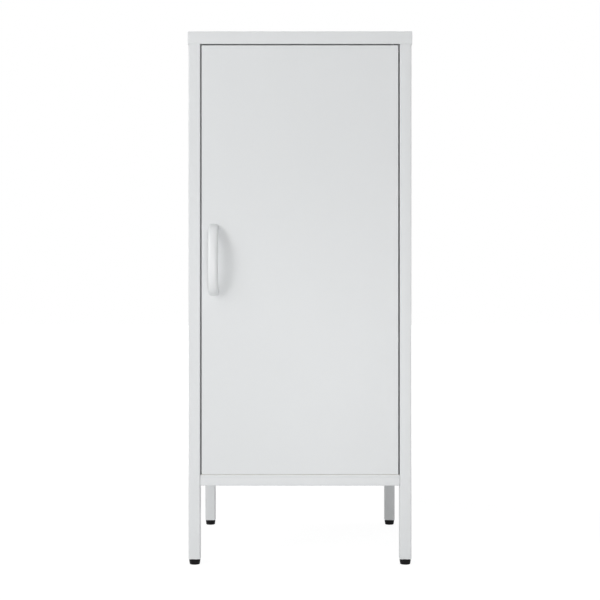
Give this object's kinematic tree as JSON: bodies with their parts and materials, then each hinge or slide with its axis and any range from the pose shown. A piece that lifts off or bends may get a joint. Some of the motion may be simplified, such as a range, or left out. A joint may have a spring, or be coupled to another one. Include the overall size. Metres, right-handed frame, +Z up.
{
  "type": "metal storage cabinet",
  "caption": "Tall narrow sheet-metal cabinet on square-tube legs, with an inset swing door, bow handle, lift-out shelves and screw-down levelling feet.",
  "frame": {"origin": "on the floor, below the middle of the bounding box, which includes the handle", "axes": "+Z up, -Y out through the door, +X towards the hinge side"},
  "size_m": [0.38, 0.4312, 0.9037],
  "materials": {
    "white_paint": "satin powder coat",
    "zinc_steel": "bright zinc plate",
    "black_plastic": "moulded, fine grain",
    "white_nylon": "moulded nylon",
    "grey_rubber": "matt rubber",
    "magnet_steel": "ferrite between steel pole plates"
  },
  "bodies": {
    "cabinet": {"back_panel": "white_paint", "cap_nut_front_left": "zinc_steel", "cap_nut_front_right": "zinc_steel", "cap_nut_rear_left": "zinc_steel", "cap_nut_rear_right": "zinc_steel", "catch_case": "white_nylon", "catch_magnet": "magnet_steel", "catch_screw_left": "zinc_steel", "catch_screw_right": "zinc_steel", "door_bumper_lower": "grey_rubber", "door_bumper_upper": "grey_rubber", "door_stop_strip": "white_paint", "floor_panel": "white_paint", "floor_screw_front_left": "zinc_steel", "floor_screw_front_right": "zinc_steel", "floor_screw_rear_left": "zinc_steel", "floor_screw_rear_right": "zinc_steel", "hinge_pin_bottom": "zinc_steel", "hinge_pin_top": "zinc_steel", "hinge_washer": "white_nylon", "leg_insert_front_left": "black_plastic", "leg_insert_front_right": "black_plastic", "leg_insert_rear_left": "black_plastic", "leg_insert_rear_right": "black_plastic", "post_front_left": "white_paint", "post_front_right": "white_paint", "post_rear_left": "white_paint", "post_rear_right": "white_paint", "shelf_clip_lower_front_left": "zinc_steel", "shelf_clip_lower_front_right": "zinc_steel", "shelf_clip_lower_rear_left": "zinc_steel", "shelf_clip_lower_rear_right": "zinc_steel", "shelf_clip_upper_front_left": "zinc_steel", "shelf_clip_upper_front_right": "zinc_steel", "shelf_clip_upper_rear_left": "zinc_steel", "shelf_clip_upper_rear_right": "zinc_steel", "side_panel_left": "white_paint", "side_panel_right": "white_paint", "top_panel": "white_paint", "top_rail_front": "white_paint", "top_rail_rear": "white_paint"},
    "door": {"door_panel": "white_paint", "door_stiffener": "white_paint", "hinge_bush_top": "white_nylon", "hinge_bush_bottom": "white_nylon", "handle": "white_paint", "handle_screw_lower": "zinc_steel", "handle_screw_upper": "zinc_steel"},
    "shelf_lower": {"shelf_lower": "white_paint"},
    "shelf_upper": {"shelf_upper": "white_paint"},
    "foot_front_left": {"foot_pad_front_left": "black_plastic", "foot_stud_front_left": "zinc_steel"},
    "foot_front_right": {"foot_pad_front_right": "black_plastic", "foot_stud_front_right": "zinc_steel"},
    "foot_rear_left": {"foot_pad_rear_left": "black_plastic", "foot_stud_rear_left": "zinc_steel"},
    "foot_rear_right": {"foot_pad_rear_right": "black_plastic", "foot_stud_rear_right": "zinc_steel"}
  },
  "joints": [
    {"name": "door_hinge", "type": "hinge", "parent": "cabinet", "child": "door", "pos_m": [0.1574, -0.1768, 0.5167], "axis": [0, 0, 1], "range_deg": [0, 110]},
    {"name": "shelf_lower_lift", "type": "slide", "parent": "cabinet", "child": "shelf_lower", "axis": [0, 0, 1], "range_m": [0, 0.04]},
    {"name": "shelf_upper_lift", "type": "slide", "parent": "cabinet", "child": "shelf_upper", "axis": [0, 0, 1], "range_m": [0, 0.04]},
    {"name": "foot_front_left_screw", "type": "slide", "parent": "cabinet", "child": "foot_front_left", "axis": [0, 0, -1], "range_m": [0, 0.008]},
    {"name": "foot_front_right_screw", "type": "slide", "parent": "cabinet", "child": "foot_front_right", "axis": [0, 0, -1], "range_m": [0, 0.008]},
    {"name": "foot_rear_left_screw", "type": "slide", "parent": "cabinet", "child": "foot_rear_left", "axis": [0, 0, -1], "range_m": [0, 0.008]},
    {"name": "foot_rear_right_screw", "type": "slide", "parent": "cabinet", "child": "foot_rear_right", "axis": [0, 0, -1], "range_m": [0, 0.008]}
  ]
}
